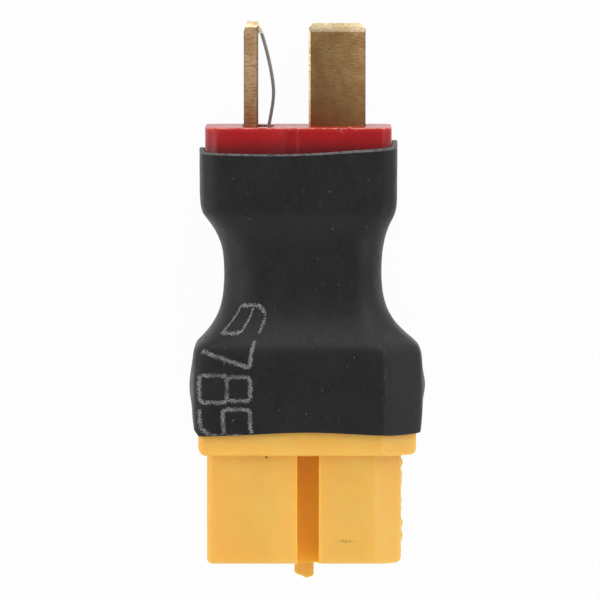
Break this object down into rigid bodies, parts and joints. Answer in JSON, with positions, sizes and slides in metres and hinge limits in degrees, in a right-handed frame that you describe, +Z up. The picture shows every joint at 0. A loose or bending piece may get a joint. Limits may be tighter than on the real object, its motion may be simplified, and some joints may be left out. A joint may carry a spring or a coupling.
{
  "type": "battery connector adapter",
  "caption": "Short adapter between two kinds of battery power connector: a moulded nose with round sockets at one end, flat sprung blades at the other, and a shrunk sleeve over the joint.",
  "frame": {"origin": "the middle of the footprint, on the surface that the adapter lies on", "axes": "+Y runs from the round sockets to the blades, +Z is up and away from the surface, +X points to the bevelled end of the socket housing"},
  "size_m": [0.0172, 0.0412, 0.009],
  "materials": {
    "yellow_nylon": "satin moulded nylon",
    "red_nylon": "satin moulded nylon",
    "plated_contact": "bright plated turned brass",
    "brass_blade": "dull stamped brass with bright tip bevels",
    "spring_steel": "dark spring steel",
    "solder": "bright set solder",
    "black_sleeve": "dull shrunk polyolefin"
  },
  "bodies": {
    "adapter": {"socket_housing": "yellow_nylon", "left_socket": "plated_contact", "right_socket": "plated_contact", "blade_housing": "red_nylon", "upright_blade": "brass_blade", "flat_blade": "brass_blade", "left_solder_joint": "solder", "right_solder_joint": "solder", "shrink_sleeve": "black_sleeve"},
    "upright_leaf": {"upright_leaf_spring": "spring_steel"},
    "flat_leaf": {"flat_leaf_spring": "spring_steel"}
  },
  "joints": [
    {"name": "upright_leaf_flex", "type": "hinge", "parent": "adapter", "child": "upright_leaf", "pos_m": [-0.00346, 0.02005, 0.00414], "axis": [0, 0, -1], "range_deg": [0, 3], "stiffness_Nm_per_rad": 0.05},
    {"name": "flat_leaf_flex", "type": "hinge", "parent": "adapter", "child": "flat_leaf", "pos_m": [0.00221, 0.01995, 0.00344], "axis": [-1, 0, 0], "range_deg": [0, 3], "stiffness_Nm_per_rad": 0.05}
  ]
}
